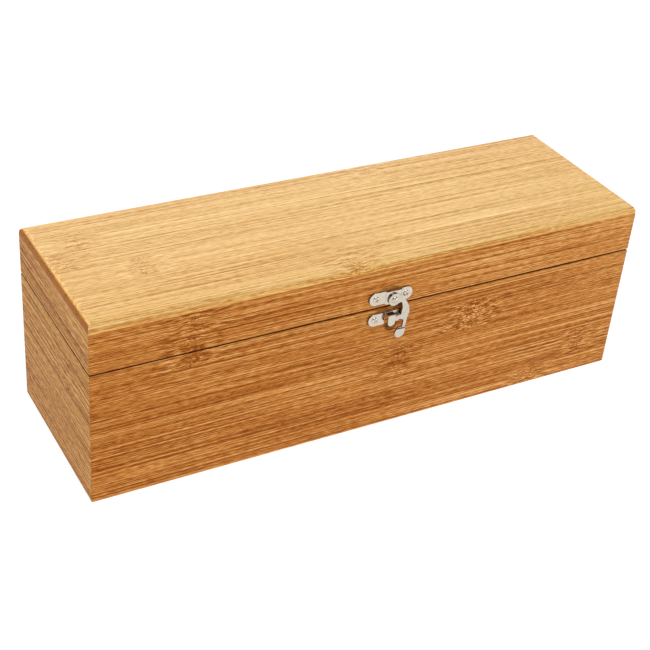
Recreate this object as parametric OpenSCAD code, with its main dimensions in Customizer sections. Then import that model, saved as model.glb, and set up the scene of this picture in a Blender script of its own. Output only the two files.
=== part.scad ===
// Bamboo presentation box for one wine bottle: a mitred base and a mitred lid,
// hinged at the back and closed at the front by a swinging hook latch.
// Millimetres. +X runs along the box, +Z is up, the front faces -Y.
// The origin is the middle of the underside.

/* [Box] */
// Outside length
box_l = 356; // [330:1:420]
// Outside width, front to back
box_w = 110; // [104:1:140]
// Height of the base, from the table to its rim
base_h = 86; // [80:1:110]
// Height of the lid's four rails, without the top panel
rail_h = 25; // [22:1:40]
// Gap between the base's rim and the closed lid
seam_gap = 0.5; // [0.3:0.1:0.8]
// Thickness of the boards and rails
wall = 9; // [8.5:0.5:11]
// Small bevel along the outer arrises of the seam
seam_ease = 0.4; // [0.2:0.1:0.8]
// Radius of the base's lower outer arrises
foot_round = 1.5; // [0.5:0.5:3]

/* [Panels] */
// Thickness of the lid's top panel
top_t = 5.5; // [5.5:0.5:9]
// Radius of the top panel's long upper edges
top_round = 5; // [3:0.5:5]
// Radius of the top panel's end edges
end_round = 4; // [0.5:0.5:5]
// Thickness of the bottom panel
bottom_t = 5; // [4:0.5:8]
// How far the bottom panel reaches into the boards' rabbets
rabbet = 4.5; // [3:0.5:6]

/* [Bottle cradles] */
// Diameter of the bottle's body
bottle_d = 76; // [70:1:78]
// Diameter of the bottle's neck
neck_d = 30; // [26:1:34]
// Room between the bottle and its cradles
bottle_room = 0.5; // [0.3:0.1:1]
// Wood left under the bottle's body in a cradle
cradle_bed = 10.5; // [6:0.5:14]
// How far a body cradle's top lies below the bottle's axis
cradle_drop = 8; // [5:1:16]
// Thickness of a cradle, along the bottle
cradle_t = 12; // [8:1:18]
// Gap between a cradle's end and the board beside it
cradle_gap = 0.2; // [0.1:0.1:0.5]
// Distance of the punt-end cradle from the left board
punt_cradle_at = 40; // [20:1:70]
// Distance from the punt-end cradle to the shoulder cradle
shoulder_cradle_at = 115; // [80:1:130]
// Distance of the neck cradle from the right board
neck_cradle_at = 36; // [20:1:70]

/* [Latch] */
// Latch centre, right of the middle of the front
latch_x = 3.1; // [-20:0.1:20]
// Sheet thickness of the latch plate and the keeper plate
sheet_t = 0.8; // [0.6:0.1:1]
// Distance between the latch plate's two screws
plate_pitch = 20; // [19.5:0.5:24]
// Distance between the keeper plate's two screws
keeper_pitch = 19; // [18:0.5:22]
// Radius of the latch plate's ends
plate_end_r = 4.3; // [4.2:0.1:5]
// Radius of the keeper plate's ends
keeper_end_r = 4.1; // [3.9:0.1:4.8]
// How much narrower a plate is between its round ends
plate_waist = 0.1; // [0:0.1:0.6]
// Height of the latch plate's centre above the lid's lower edge
plate_up = 6.5; // [6.5:0.1:8]
// Depth of the keeper plate's centre below the base's rim
keeper_down = 7.3; // [6.5:0.1:8.5]
// Rise of the latch plate's raised middle
plate_rise = 1.2; // [1.1:0.1:1.6]
// Half width of the raised middle
plate_rise_half = 4.7; // [4.4:0.1:5.2]
// Pivot, right of the plate's centre
pivot_dx = 1.3; // [0:0.1:2]
// Pivot, below the plate's centre
pivot_dz = 1.3; // [0:0.1:1.8]
// Radius of the arm's round eye
eye_r = 4; // [3.6:0.1:4.4]
// Sheet thickness of the arm
arm_t = 1; // [0.8:0.1:1.2]
// Gap between the arm and what it slides on
arm_gap = 0.1; // [0.05:0.05:0.2]
// Furthest reach of the arm to the right of its pivot
arm_out = 11.2; // [10.5:0.1:12]
// Width of the arm's upper bar
arm_bar = 5; // [4.5:0.1:5.5]
// Width of the arm's lower bar, above the thumb tab
tail_w = 2.3; // [2:0.1:2.8]
// Radius of the thumb tab
thumb_r = 3.3; // [3:0.1:3.6]
// Distance of the thumb tab's centre inside the arm's furthest reach
thumb_in = 5.7; // [5.4:0.1:6.2]
// Distance of the thumb tab's centre below the spur
thumb_down = 10.6; // [9.5:0.1:12]
// Thickness of the spur at its tip
spur_w = 1.4; // [1.2:0.1:1.8]
// Gap between the spur's tip and the tongue, at rest
spur_gap = 0.5; // [0.3:0.1:0.8]
// Height of the spur's tip above the keeper plate's centre
spur_up = 0; // [-0.4:0.1:0.6]
// Width of the keeper's tongue
tongue_w = 4.8; // [4:0.1:5.5]
// Length of the tongue, from its bend to its rounded tip
tongue_l = 7.6; // [6.5:0.1:8]
// Height of the tongue's bend above the keeper plate's centre
tongue_up = 3.5; // [3.3:0.1:3.6]
// Room between the arm and the tongue in front of it
tongue_room = 0.4; // [0.3:0.1:0.8]
// Radius of the rivet's shank
rivet_r = 1.3; // [1:0.1:1.5]
// Radius of the rivet's domed head
rivet_head_r = 2.1; // [1.9:0.1:2.6]
// Height of the rivet's domed head
rivet_head_h = 1.1; // [0.8:0.1:1.4]

/* [Hinges] */
// Distance between the two hinges
hinge_pitch = 210; // [150:1:240]
// Width of a hinge, along the box
hinge_w = 22; // [20:1:30]
// Height of one leaf, from its root to its free edge
leaf_h = 11; // [10:0.5:13]
// Thickness of a leaf
leaf_t = 1; // [0.8:0.1:1.2]
// Outer radius of the knuckles
knuckle_r = 2.2; // [2:0.1:2.6]
// Gap between the knuckles and the box's back
knuckle_gap = 0.2; // [0.15:0.05:0.4]
// Width of the lid leaf's middle knuckle
mid_knuckle_w = 8; // [6:0.5:10]
// Side gap between neighbouring knuckles
side_gap = 0.2; // [0.1:0.05:0.3]
// Radius of the hinge pin
pin_r = 1; // [0.8:0.1:1.2]
// Radial clearance of the pin and the rivet in what turns on them
turn_fit = 0.05; // [0.03:0.01:0.08]
// Opening angle at which the two stop lips meet
open_angle = 95; // [85:1:105]
// Reach of a stop lip from the pin's axis
lip_reach = 7.5; // [6:0.5:9]
// Thickness of a stop lip
lip_t = 0.9; // [0.7:0.1:1.2]
// Distance between a leaf's two screws
leaf_screw_pitch = 13; // [12:0.5:14]

/* [Screws] */
// Radius of a screw's shank
screw_r = 1.1; // [0.9:0.1:1.3]
// Radius of a screw's head
screw_head_r = 2; // [1.8:0.1:2.3]
// Height of a screw's domed head
screw_head_h = 0.9; // [0.6:0.1:1]
// Length of a screw's shank, under its head
screw_l = 7; // [5:0.5:8]
// Length of a screw's point
screw_point = 2; // [1:0.5:3]
// Width of the cross cut in a screw's head
cross_w = 0.5; // [0.4:0.1:0.6]
// Radial clearance between a screw and its hole
screw_fit = 0.05; // [0.02:0.01:0.1]

/* [Hidden] */
$fn = 64;

// Drawn this far past a face that it cuts
cut = 1;

// Heights of the seam and of the lid
lid_z = base_h + seam_gap;
seam_z = base_h + seam_gap / 2;
panel_z = lid_z + rail_h;
inside_l = box_l - 2 * wall;
inside_w = box_w - 2 * wall;

// Bottle
cradle_r = bottle_d / 2 + bottle_room;
neck_r = neck_d / 2 + bottle_room;
bottle_z = bottom_t + cradle_bed + cradle_r;
punt_x = -inside_l / 2 + punt_cradle_at;
shoulder_x = punt_x + shoulder_cradle_at;
neck_x = inside_l / 2 - neck_cradle_at;

// Latch
plate_z = lid_z + plate_up;
keeper_z = base_h - keeper_down;
pivot_x = latch_x + pivot_dx;
pivot_z = plate_z - pivot_dz;
plate_top = plate_rise + sheet_t;
arm_back = plate_top + arm_gap;
arm_front = arm_back + arm_t;
rivet_head_at = arm_front + arm_gap;
rivet_tail_h = 0.7;
rivet_tail_r = rivet_r + 0.9;
rise_slope = 1;
spur_z = keeper_z + spur_up - pivot_z;
spur_x = tongue_w / 2 + spur_gap - pivot_dx;
thumb_z = spur_z - thumb_down;
thumb_x = arm_out - thumb_in;
tongue_back = arm_front + tongue_room;
notch_w = tongue_w + 0.8;

// Hinges
pin_y = box_w / 2 + knuckle_r + knuckle_gap;
leaf_y = box_w / 2 - pin_y;
leaf_root = knuckle_r + 0.4;
leaf_screw_z = leaf_root + leaf_h / 2;
lip_angle = open_angle / 2 + 0.5;
lip_root = (pin_r + knuckle_r) / 2;
outer_knuckle_w = (hinge_w - mid_knuckle_w) / 2 - side_gap;
pin_head_h = 0.6;
pin_head_r = pin_r + 0.5;
leaf_corner = 2;
hinge_x = hinge_pitch / 2;

bamboo_light = [0.85, 0.66, 0.42];
bamboo_warm = [0.73, 0.48, 0.24];
bamboo_end = [0.74, 0.55, 0.33];
nickel = [0.78, 0.76, 0.73];
bright = [0.84, 0.83, 0.81];

// ---- helpers --------------------------------------------------------------

// Unit vector from a to b
function dir(a, b) = (b - a) / norm(b - a);

// Points of one rounded corner at p, between its neighbours a and b
function corner(a, p, b, r) =
    let (u = dir(p, a), v = dir(p, b), half = acos(u * v) / 2)
    let (centre = p + dir([0, 0], u + v) * r / sin(half))
    let (start = p + u * r / tan(half) - centre, turn = 180 - 2 * half)
    let (side = cross(u, v) > 0 ? -1 : 1)
    let (steps = ceil(turn / 8))
    [for (i = [0 : steps]) let (w = side * turn * i / steps)
        centre + [start.x * cos(w) - start.y * sin(w), start.x * sin(w) + start.y * cos(w)]];

// Outline through [x, y, r] corners; a corner with r = 0 stays sharp
function outline(c) =
    let (n = len(c), xy = [for (q = c) [q.x, q.y]])
    [for (i = [0 : n - 1])
        each (c[i].z == 0 ? [xy[i]] : corner(xy[(i + n - 1) % n], xy[i], xy[(i + 1) % n], c[i].z))];

// Turns a drawing so that it lies on the front of the box, as seen from the front
module on_front(x, z) {
    translate([x, -box_w / 2, z]) rotate([90, 0, 0]) children();
}

// Turns a drawing so that it lies on the back of the box, facing outwards
module on_back(x, z) {
    translate([x, box_w / 2, z]) rotate([90, 0, 180]) children();
}

// Mirrors a drawing along an axis whose entry in way is -1, and leaves it alone for 1
module flip(way) {
    mirror([for (w = way) w < 0 ? 1 : 0]) children();
}

// Domed cap of radius r and height h, standing on z = 0
module dome(r, h) {
    ball = (r * r + h * h) / (2 * h);
    intersection() {
        translate([0, 0, h - ball]) sphere(ball, $fn = 96);
        cylinder(h = h, r = ball);
    }
}

// Round-head screw: head above z = 0, shank and point below
module screw() {
    difference() {
        union() {
            dome(screw_head_r, screw_head_h);
            translate([0, 0, screw_point - screw_l]) cylinder(h = screw_l - screw_point, r = screw_r);
            translate([0, 0, -screw_l]) cylinder(h = screw_point, r1 = 0, r2 = screw_r);
        }
        for (a = [0, 90]) rotate([0, 0, a]) {
            translate([-screw_head_r * 0.6, -cross_w / 2, screw_head_h * 0.35])
                cube([screw_head_r * 1.2, cross_w, screw_head_h]);
        }
    }
}

// Pilot hole for one screw whose head stands proud of the board by h
module pilot(h) {
    translate([0, 0, h - screw_l - screw_fit]) cylinder(h = screw_l + cut, r = screw_r + screw_fit);
}

// Two places side by side, pitch apart
module pair(pitch) {
    for (s = [-1, 1]) translate([s * pitch / 2, 0, 0]) children();
}

// Places of the two screws of a hinge leaf; up is 1 for the lid and -1 for the base
module at_leaf_screws(up) {
    translate([0, up * leaf_screw_z, 0]) pair(leaf_screw_pitch) children();
}

// ---- boards ---------------------------------------------------------------

// Section of a base board: outer face at x = 0, inner face at x = wall
module board_section() {
    difference() {
        polygon([[foot_round, 0], [wall, 0], [wall, base_h], [seam_ease, base_h],
                 [0, base_h - seam_ease], [0, foot_round]]);
        translate([wall - rabbet, -cut]) square([rabbet + cut, bottom_t + cut]);
    }
    translate([foot_round, foot_round]) circle(foot_round);
}

// Section of a lid rail, standing on the lid's lower edge
module rail_section() {
    polygon([[seam_ease, 0], [wall, 0], [wall, rail_h], [0, rail_h], [0, seam_ease]]);
}

// A board of length l along X with 45 degree ends, its section given as a child;
// its outer face lies at y = -out
module mitred(l, out, h) {
    translate([0, -out, 0]) intersection() {
        translate([-l / 2, 0, 0]) rotate([90, 0, 90]) linear_extrude(l) children();
        translate([0, 0, -cut]) linear_extrude(h + 2 * cut)
            polygon([[-l / 2, 0], [l / 2, 0], [l / 2 - wall, wall], [wall - l / 2, wall]]);
    }
}

// Pilot holes of both hinges in the back; up is 1 for the lid and -1 for the base
module hinge_pilots(up) {
    for (s = [-1, 1]) on_back(s * hinge_x, seam_z) at_leaf_screws(up) pilot(leaf_t);
}

module base_front_board() {
    color(bamboo_warm) difference() {
        mitred(box_l, box_w / 2, base_h) board_section();
        on_front(latch_x, keeper_z) pair(keeper_pitch) pilot(sheet_t);
    }
}

module base_back_board() {
    color(bamboo_warm) difference() {
        rotate([0, 0, 180]) mitred(box_l, box_w / 2, base_h) board_section();
        hinge_pilots(-1);
    }
}

// End board; side is -1 for the left and 1 for the right
module base_end_board(side) {
    color(bamboo_end) rotate([0, 0, side * 90]) mitred(box_w, box_l / 2, base_h) board_section();
}

module base_bottom_panel() {
    panel = [box_l - 2 * (wall - rabbet), box_w - 2 * (wall - rabbet), bottom_t];
    color(bamboo_warm) translate([-panel.x / 2, -panel.y / 2, 0]) cube(panel);
}

module lid_front_rail() {
    color(bamboo_warm) difference() {
        translate([0, 0, lid_z]) mitred(box_l, box_w / 2, rail_h) rail_section();
        on_front(latch_x, plate_z) pair(plate_pitch) pilot(sheet_t);
    }
}

module lid_back_rail() {
    color(bamboo_warm) difference() {
        translate([0, 0, lid_z]) rotate([0, 0, 180]) mitred(box_l, box_w / 2, rail_h) rail_section();
        hinge_pilots(1);
    }
}

// End rail; side is -1 for the left and 1 for the right
module lid_end_rail(side) {
    color(bamboo_end) translate([0, 0, lid_z]) rotate([0, 0, side * 90])
        mitred(box_w, box_l / 2, rail_h) rail_section();
}

// Section of a panel w wide whose two upper edges are rounded to radius r
module panel_section(w, r) {
    translate([-w / 2, 0]) square([w, top_t - r]);
    translate([r - w / 2, 0]) square([w - 2 * r, top_t]);
    for (s = [-1, 1]) translate([s * (w / 2 - r), top_t - r]) circle(r);
}

module lid_top_panel() {
    color(bamboo_light) translate([0, 0, panel_z]) intersection() {
        translate([-box_l / 2, 0, 0]) rotate([90, 0, 90]) linear_extrude(box_l)
            intersection() {
                panel_section(box_w, top_round);
                translate([-box_w / 2, 0]) square([box_w, top_t]);
            }
        translate([0, box_w / 2, 0]) rotate([90, 0, 0]) linear_extrude(box_w)
            intersection() {
                panel_section(box_l, end_round);
                translate([-box_l / 2, 0]) square([box_l, top_t]);
            }
    }
}

// ---- bottle cradles -------------------------------------------------------

// Cradle at x, with its top at height top and a half-round seat of radius r
module cradle(x, top, r) {
    w = inside_w - 2 * cradle_gap;
    color(bamboo_light) difference() {
        translate([x - cradle_t / 2, -w / 2, bottom_t]) cube([cradle_t, w, top - bottom_t]);
        translate([x - cradle_t, 0, bottle_z]) rotate([0, 90, 0]) cylinder(h = 2 * cradle_t, r = r, $fn = 128);
    }
}

module punt_end_cradle() {
    cradle(punt_x, bottle_z - cradle_drop, cradle_r);
}

module shoulder_cradle() {
    cradle(shoulder_x, bottle_z - cradle_drop, cradle_r);
}

module neck_cradle() {
    cradle(neck_x, bottle_z, neck_r);
}

// ---- latch ----------------------------------------------------------------

// Plate outline: two round ends of radius r, pitch apart, joined by a slightly narrower waist
module plate_outline(pitch, r) {
    square([pitch, 2 * (r - plate_waist)], center = true);
    pair(pitch) circle(r);
}

module latch_plate() {
    half = plate_pitch / 2 + plate_end_r + cut;
    left = pivot_dx - plate_rise_half;
    right = pivot_dx + plate_rise_half;
    color(nickel) on_front(latch_x, plate_z) difference() {
        intersection() {
            linear_extrude(plate_top) plate_outline(plate_pitch, plate_end_r);
            translate([0, half, 0]) rotate([90, 0, 0]) linear_extrude(2 * half)
                polygon([[-half, 0], [left - rise_slope, 0], [left, plate_rise], [right, plate_rise],
                         [right + rise_slope, 0], [half, 0], [half, sheet_t], [right + rise_slope, sheet_t],
                         [right, plate_top], [left, plate_top], [left - rise_slope, sheet_t],
                         [-half, sheet_t]]);
        }
        pair(plate_pitch) translate([0, 0, -cut]) cylinder(h = sheet_t + 2 * cut, r = screw_r + screw_fit);
        translate([pivot_dx, -pivot_dz, -cut]) cylinder(h = plate_top + 2 * cut, r = rivet_r + screw_fit);
    }
}

// Hook outline, seen from the front, with the pivot at its origin
module arm_outline() {
    inner = arm_out - arm_bar;
    tail = arm_out - 1.3;
    polygon(outline([
        [eye_r * 0.48, eye_r * 0.87, 0],
        [arm_out - 2.9, -0.5, 20],
        [arm_out, spur_z + 3.3, 6],
        [tail, spur_z - 1.7, 10],
        [thumb_x + thumb_r, thumb_z, 0],
        [thumb_x, thumb_z, 0],
        [thumb_x, thumb_z + thumb_r, 0],
        [tail - tail_w - 0.3, thumb_z + thumb_r, 0.6],
        [tail - tail_w, spur_z - 2.2, 0.8],
        [inner - 1.2, spur_z - 1.4, 0.5],
        [spur_x, spur_z - spur_w / 2, 0.5],
        [spur_x, spur_z + spur_w / 2, 0.5],
        [inner - 0.7, spur_z + 1.6, 0.8],
        [inner - 0.1, spur_z / 2, 4],
        [inner - 1.2, -eye_r * 0.6, 0.8],
        [eye_r * 0.64, -eye_r * 0.76, 0]
    ]));
}

module latch_arm() {
    color(bright) on_front(pivot_x, pivot_z) translate([0, 0, arm_back]) difference() {
        union() {
            cylinder(h = arm_t, r = eye_r);
            linear_extrude(arm_t) arm_outline();
            translate([thumb_x, thumb_z, 0]) cylinder(h = arm_t, r = thumb_r);
        }
        translate([0, 0, -cut]) cylinder(h = arm_t + 2 * cut, r = rivet_r + turn_fit);
    }
}

module latch_rivet() {
    tail_at = plate_rise - arm_gap - rivet_tail_h;
    color(bright) on_front(pivot_x, pivot_z) {
        translate([0, 0, tail_at]) cylinder(h = rivet_tail_h, r = rivet_tail_r);
        translate([0, 0, tail_at]) cylinder(h = rivet_head_at + cut / 2 - tail_at, r = rivet_r);
        translate([0, 0, rivet_head_at]) dome(rivet_head_r, rivet_head_h);
    }
}

module latch_plate_screws() {
    color(bright) on_front(latch_x, plate_z) pair(plate_pitch) translate([0, 0, sheet_t]) screw();
}

module keeper_plate() {
    tongue_front = tongue_back + sheet_t;
    tongue_low = tongue_up - tongue_l;
    color(nickel) on_front(latch_x, keeper_z) {
        difference() {
            linear_extrude(sheet_t) plate_outline(keeper_pitch, keeper_end_r);
            pair(keeper_pitch) translate([0, 0, -cut]) cylinder(h = sheet_t + 2 * cut, r = screw_r + screw_fit);
            translate([-notch_w / 2, -keeper_end_r - cut, -cut])
                cube([notch_w, keeper_end_r + cut + tongue_up - sheet_t, sheet_t + 2 * cut]);
        }
        intersection() {
            translate([-tongue_w / 2, 0, 0]) rotate([90, 0, 90]) linear_extrude(tongue_w)
                polygon(outline([[tongue_up, 0, 0], [tongue_up, tongue_front, sheet_t],
                                 [tongue_low, tongue_front, 0], [tongue_low, tongue_back, 0],
                                 [tongue_up - sheet_t, tongue_back, 0.2], [tongue_up - sheet_t, 0, 0]]));
            linear_extrude(tongue_front + cut) {
                translate([0, tongue_low + tongue_w / 2]) circle(tongue_w / 2);
                translate([-tongue_w / 2, tongue_low + tongue_w / 2]) square([tongue_w, tongue_l]);
            }
        }
    }
}

module keeper_plate_screws() {
    color(bright) on_front(latch_x, keeper_z) pair(keeper_pitch) translate([0, 0, sheet_t]) screw();
}

// ---- hinges ---------------------------------------------------------------

// Extrudes a section along the pin, w wide and centred at x; the section's x runs
// outwards and its y up, both from the pin's axis
module along_pin(x, w) {
    translate([x - w / 2, 0, 0]) rotate([90, 0, 90]) linear_extrude(w) children();
}

// Section of a knuckle with the root of its leaf and the root of its stop lip
module knuckle_section() {
    circle(knuckle_r);
    translate([leaf_y, 0]) square([leaf_t, leaf_root + leaf_t]);
    rotate(lip_angle) translate([lip_root, 0]) square([leaf_root, lip_t]);
}

// Section of the stop lip, beyond the reach of the other leaf's knuckles
module lip_section() {
    rotate(lip_angle) translate([leaf_root, 0]) square([lip_reach - leaf_root, lip_t]);
}

// Leaf of the hinge centred at x; up is 1 for the lid leaf and -1 for the base leaf
module hinge_leaf(x, up) {
    leaf_top = leaf_root + leaf_h;
    half = hinge_w / 2;
    outer_x = (hinge_w - outer_knuckle_w) / 2;
    knuckles = up > 0 ? [[0, mid_knuckle_w]] : [[-outer_x, outer_knuckle_w], [outer_x, outer_knuckle_w]];
    color(nickel) translate([x, pin_y, seam_z]) flip([0, 0, up]) difference() {
        union() {
            translate([0, leaf_y, 0]) rotate([90, 0, 180]) linear_extrude(leaf_t)
                polygon(outline([[-half, leaf_root, 0], [half, leaf_root, 0],
                                 [half, leaf_top, leaf_corner], [-half, leaf_top, leaf_corner]]));
            for (k = knuckles) along_pin(k[0], k[1]) knuckle_section();
            along_pin(0, hinge_w) lip_section();
        }
        along_pin(0, hinge_w + 2 * cut) circle(pin_r + turn_fit);
        translate([0, leaf_y, 0]) rotate([90, 0, 180]) at_leaf_screws(1) translate([0, 0, -cut])
            cylinder(h = leaf_t + 2 * cut, r = screw_r + screw_fit);
    }
}

module hinge_pin(x) {
    color(bright) translate([x, pin_y, seam_z]) {
        along_pin(0, hinge_w) circle(pin_r);
        for (s = [-1, 1]) along_pin(s * (hinge_w + pin_head_h) / 2, pin_head_h) circle(pin_head_r);
    }
}

module hinge_screws(x, up) {
    color(bright) on_back(x, seam_z) at_leaf_screws(up) translate([0, 0, leaf_t]) screw();
}

base_front_board();
base_back_board();
base_end_board(-1);  // base_left_board
base_end_board(1);  // base_right_board
base_bottom_panel();
punt_end_cradle();
shoulder_cradle();
neck_cradle();
lid_top_panel();
lid_front_rail();
lid_back_rail();
lid_end_rail(-1);  // lid_left_rail
lid_end_rail(1);  // lid_right_rail
latch_plate();
latch_arm();
latch_rivet();
latch_plate_screws();
keeper_plate();
keeper_plate_screws();
hinge_leaf(-hinge_x, -1);  // left_hinge_base_leaf
hinge_leaf(-hinge_x, 1);  // left_hinge_lid_leaf
hinge_pin(-hinge_x);  // left_hinge_pin
hinge_screws(-hinge_x, -1);  // left_hinge_base_screws
hinge_screws(-hinge_x, 1);  // left_hinge_lid_screws
hinge_leaf(hinge_x, -1);  // right_hinge_base_leaf
hinge_leaf(hinge_x, 1);  // right_hinge_lid_leaf
hinge_pin(hinge_x);  // right_hinge_pin
hinge_screws(hinge_x, -1);  // right_hinge_base_screws
hinge_screws(hinge_x, 1);  // right_hinge_lid_screws
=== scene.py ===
# %% [markdown]
# # A bamboo wine box, dressed for a studio picture
# The box is a mitred bamboo base with a hinged lid, a nickel hook latch in front and two
# stop hinges behind. Its sizes, joints and screws are settled already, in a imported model.
# This lesson gives that model its looks: grain, joint lines, eased edges, polished nickel.
# Nothing here moves a piece, and the only new form is a small step in the latch's hook.
# We start by loading the model, and we note its size.

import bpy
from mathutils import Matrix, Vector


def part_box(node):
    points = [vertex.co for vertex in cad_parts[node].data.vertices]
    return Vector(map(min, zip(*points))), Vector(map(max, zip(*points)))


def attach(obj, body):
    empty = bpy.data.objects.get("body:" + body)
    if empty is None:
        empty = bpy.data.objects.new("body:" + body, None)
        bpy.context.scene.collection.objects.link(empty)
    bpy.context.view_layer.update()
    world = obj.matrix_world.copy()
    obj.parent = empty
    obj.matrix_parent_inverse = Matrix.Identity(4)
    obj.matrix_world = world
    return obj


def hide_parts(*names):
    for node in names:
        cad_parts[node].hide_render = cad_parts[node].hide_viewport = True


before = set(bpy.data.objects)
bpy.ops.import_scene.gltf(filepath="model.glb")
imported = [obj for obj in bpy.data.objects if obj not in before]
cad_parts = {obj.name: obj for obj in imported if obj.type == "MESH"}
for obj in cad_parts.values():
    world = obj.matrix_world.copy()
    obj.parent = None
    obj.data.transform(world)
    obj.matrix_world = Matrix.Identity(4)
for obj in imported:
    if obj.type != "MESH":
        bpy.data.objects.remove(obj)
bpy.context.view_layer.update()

# %% Tools of the trade
import math

import bmesh
import bpy
from mathutils import Matrix, Vector

MM = 0.001  # Blender works in metres, a joiner in millimetres
scene = bpy.context.scene
scene.view_settings.view_transform = "Standard"


def srgb(red, green, blue):
    """A colour given 0 to 255 a channel, as Blender's linear colour."""
    def linear(c):
        c = c / 255
        return c / 12.92 if c <= 0.04045 else ((c + 0.055) / 1.055) ** 2.4
    return (linear(red), linear(green), linear(blue), 1.0)


# %% [markdown]
# ## The camera
# A product shot of a long box is taken from a little above and to one side, with a long
# lens so that the far end doesn't shrink too much. We give the camera's place as angles
# and a distance from the point it looks at, which is how a photographer thinks of it, and
# add the small roll that the picture has.

# %% Camera
AZIMUTH, ELEVATION, ROLL = -31.5, 33.52, 5.29  # degrees
DISTANCE = 815.6 * MM
AIM = Vector((-19.15, -23.0, 58.5)) * MM
SENSOR, LENS = 36.0, 76.09  # millimetres
NEAREST, FARTHEST = 0.01, 50  # metres between which the camera sees things


def camera_back(azimuth, elevation):
    """The direction from the subject back to the camera; azimuth 0 looks along +Y."""
    a, e = math.radians(azimuth), math.radians(elevation)
    return Vector((math.sin(a) * math.cos(e), -math.cos(a) * math.cos(e), math.sin(e)))


def make_camera():
    data = bpy.data.cameras.new("camera")
    data.sensor_width, data.lens = SENSOR, LENS
    data.clip_start, data.clip_end = NEAREST, FARTHEST
    camera = bpy.data.objects.new("camera", data)
    scene.collection.objects.link(camera)
    back = camera_back(AZIMUTH, ELEVATION)
    level = (-back).to_track_quat("-Z", "Y").to_matrix()
    turn = level @ Matrix.Rotation(math.radians(ROLL), 3, "Z")
    camera.matrix_world = Matrix.Translation(AIM + back * DISTANCE) @ turn.to_4x4()
    scene.camera = camera
    return camera


print("camera at, mm:", [round(c / MM) for c in make_camera().location])

# %% [markdown]
# ## Wiring
# Shader nodes are formulas drawn as boxes. A small helper lets us write the formula in one
# line: a value that is a socket is joined, any other value is typed into the field.

# %% A helper that adds and joins nodes
class Wiring:
    """Adds nodes to one node tree; what is passed in may be numbers, colours or sockets."""

    def __init__(self, tree):
        self.tree = tree

    def feed(self, socket, value):
        if isinstance(value, bpy.types.NodeSocket):
            self.tree.links.new(value, socket)
        else:
            socket.default_value = value

    def add(self, kind, inputs=None, **settings):
        node = self.tree.nodes.new(kind)
        for name, value in settings.items():
            setattr(node, name, value)
        for socket, value in (inputs or {}).items():
            self.feed(node.inputs[socket], value)
        return node

    def calc(self, operation, *values):
        node = self.add("ShaderNodeMath", operation=operation)
        for socket, value in zip(node.inputs, values):
            self.feed(socket, value)
        return node.outputs[0]

    def plus(self, first, *others):
        for other in others:
            first = self.calc("ADD", first, other)
        return first

    def times(self, first, *others):
        for other in others:
            first = self.calc("MULTIPLY", first, other)
        return first

    def minus(self, a, b):
        return self.calc("SUBTRACT", a, b)

    def point(self, x, y, z):
        return self.add("ShaderNodeCombineXYZ", {0: x, 1: y, 2: z}).outputs[0]

    def fade(self, value, start, end, at_start=1.0, at_end=0.0):
        """A smooth step from one value to another."""
        node = self.add("ShaderNodeMapRange", interpolation_type="SMOOTHSTEP")
        for name, v in (("Value", value), ("From Min", start), ("From Max", end),
                        ("To Min", at_start), ("To Max", at_end)):
            self.feed(node.inputs[name], v)
        return node.outputs["Result"]

    def noise(self, place, detail=2.0, rough=0.5):
        """Noise that swings about zero, most of it within half a unit."""
        node = self.add("ShaderNodeTexNoise", {"Vector": place, "Scale": 1.0, "Detail": detail,
                                               "Roughness": rough})
        return self.minus(node.outputs["Fac"], 0.5)

    def mix(self, factor, first, second):
        """The first colour where the factor is 0 and the second where it is 1."""
        node = self.add("ShaderNodeMix", data_type="RGBA")
        for socket, value in ((0, factor), (6, first), (7, second)):
            self.feed(node.inputs[socket], value)
        return node.outputs[2]

    def ramp(self, value, stops, steps=False):
        """Colours along 0 to 1, as (place, colour) pairs."""
        node = self.add("ShaderNodeValToRGB", {"Fac": value})
        node.color_ramp.interpolation = "CONSTANT" if steps else "LINEAR"
        band = node.color_ramp.elements
        while len(band) < len(stops):
            band.new(1.0)
        for element, (place, colour) in zip(band, stops):
            element.position, element.color = place, colour
        return node.outputs["Color"]


def blank_tree(block):
    """A material or world whose own nodes are cleared away, and the wiring of its tree."""
    block.use_nodes = True
    block.node_tree.nodes.clear()
    return block, Wiring(block.node_tree)


def new_material(name):
    """A blank material, its wiring and its shader."""
    material, wiring = blank_tree(bpy.data.materials.new(name))
    shader = wiring.add("ShaderNodeBsdfPrincipled")
    wiring.add("ShaderNodeOutputMaterial", {"Surface": shader.outputs[0]})
    return material, wiring, shader


print("wiring helper ready")

# %% [markdown]
# ## The paper floor
# The box stands on a pale sweep of paper. Strong lamps would make the paper white, but they
# would bleach the wood too. So the paper glows by itself, and only for rays that come from
# the camera or off polished metal. All other rays meet ordinary grey paper, which gives
# little light back, and the glow is held low enough that the box's soft shadow still shows.
#
# The rays that ask whether a lamp is in sight pass through the paper, as they would through
# the glass of a light table. That lets one of the lamps shine from below, as we see soon.

# %% Paper floor
FLOOR_SIZE = 40.0      # metres
FLOOR_DROP = 0.02      # mm that the paper lies below the box
PAPER = 0.18           # how much light the paper gives back
PAPER_GLOW = 0.76      # its own light, for the camera and for polished metal
PAPER_SHADE = 0.35     # how much of the shading these two still see


def seen_directly(w):
    """1 for rays from the camera and for those off polished metal or glass, else 0."""
    path = w.add("ShaderNodeLightPath")
    rays = w.plus(path.outputs["Is Camera Ray"], path.outputs["Is Glossy Ray"],
                  path.outputs["Is Transmission Ray"])
    return w.calc("MINIMUM", rays, 1.0)


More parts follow.
